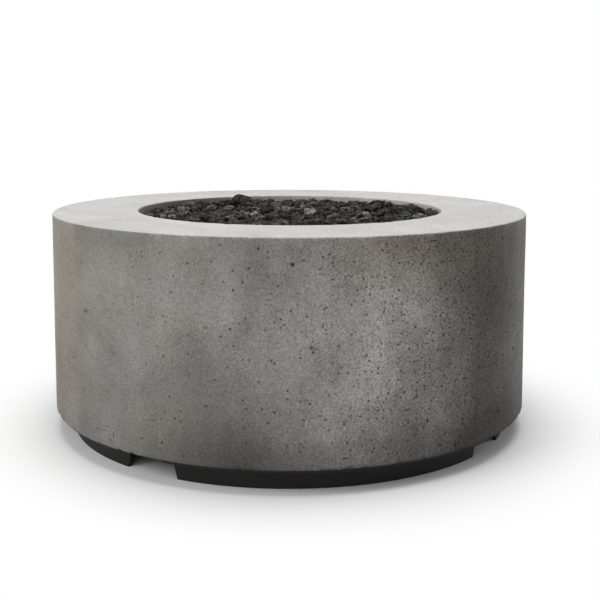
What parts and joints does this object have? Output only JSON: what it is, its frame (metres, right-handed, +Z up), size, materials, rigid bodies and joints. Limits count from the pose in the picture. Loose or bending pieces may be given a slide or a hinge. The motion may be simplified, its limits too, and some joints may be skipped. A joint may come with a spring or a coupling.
{
  "type": "gas fire bowl",
  "caption": "Round cast concrete gas fire bowl on a black vented steel base, with a ring burner under loose lava rock and a key valve in the rear wall.",
  "frame": {"origin": "on the floor, under the middle of the bowl", "axes": "+Z up, along the bowl's axis; +Y towards the rear wall, which holds the key valve; the base's vents lie on the X and Y axes"},
  "size_m": [0.9648, 0.9646, 0.4476],
  "materials": {
    "concrete": "matte",
    "lava": "matte",
    "black_steel": "satin",
    "zinc_steel": "satin",
    "stainless": "satin",
    "brass": "satin",
    "chrome_trim": "polished",
    "seal_rubber": "matte"
  },
  "bodies": {
    "bowl": {"concrete_shell": "concrete", "base_skirt_front_right": "black_steel", "base_skirt_rear_right": "black_steel", "base_skirt_rear_left": "black_steel", "base_skirt_front_left": "black_steel", "base_bolts": "black_steel", "base_inserts": "zinc_steel", "burner_pan": "stainless", "ring_burner": "stainless", "burner_nipple": "zinc_steel", "gas_orifice": "brass", "pan_locknut": "brass", "inlet_elbow": "brass", "outlet_adapter": "brass", "gas_line": "stainless", "flare_nuts": "brass", "valve_body": "brass", "stem_seal": "seal_rubber", "gland_bush": "brass", "wall_washer": "zinc_steel", "neck_locknut": "brass", "escutcheon": "chrome_trim", "bezel_nut": "chrome_trim", "lava_bed": "lava", "lava_rocks": "lava"},
    "key_plug": {"valve_plug": "brass"}
  },
  "joints": [
    {"name": "key_turn", "type": "hinge", "parent": "bowl", "child": "key_plug", "pos_m": [0, 0.3975, 0.14], "axis": [0, 1, 0], "range_deg": [0, 90]}
  ]
}
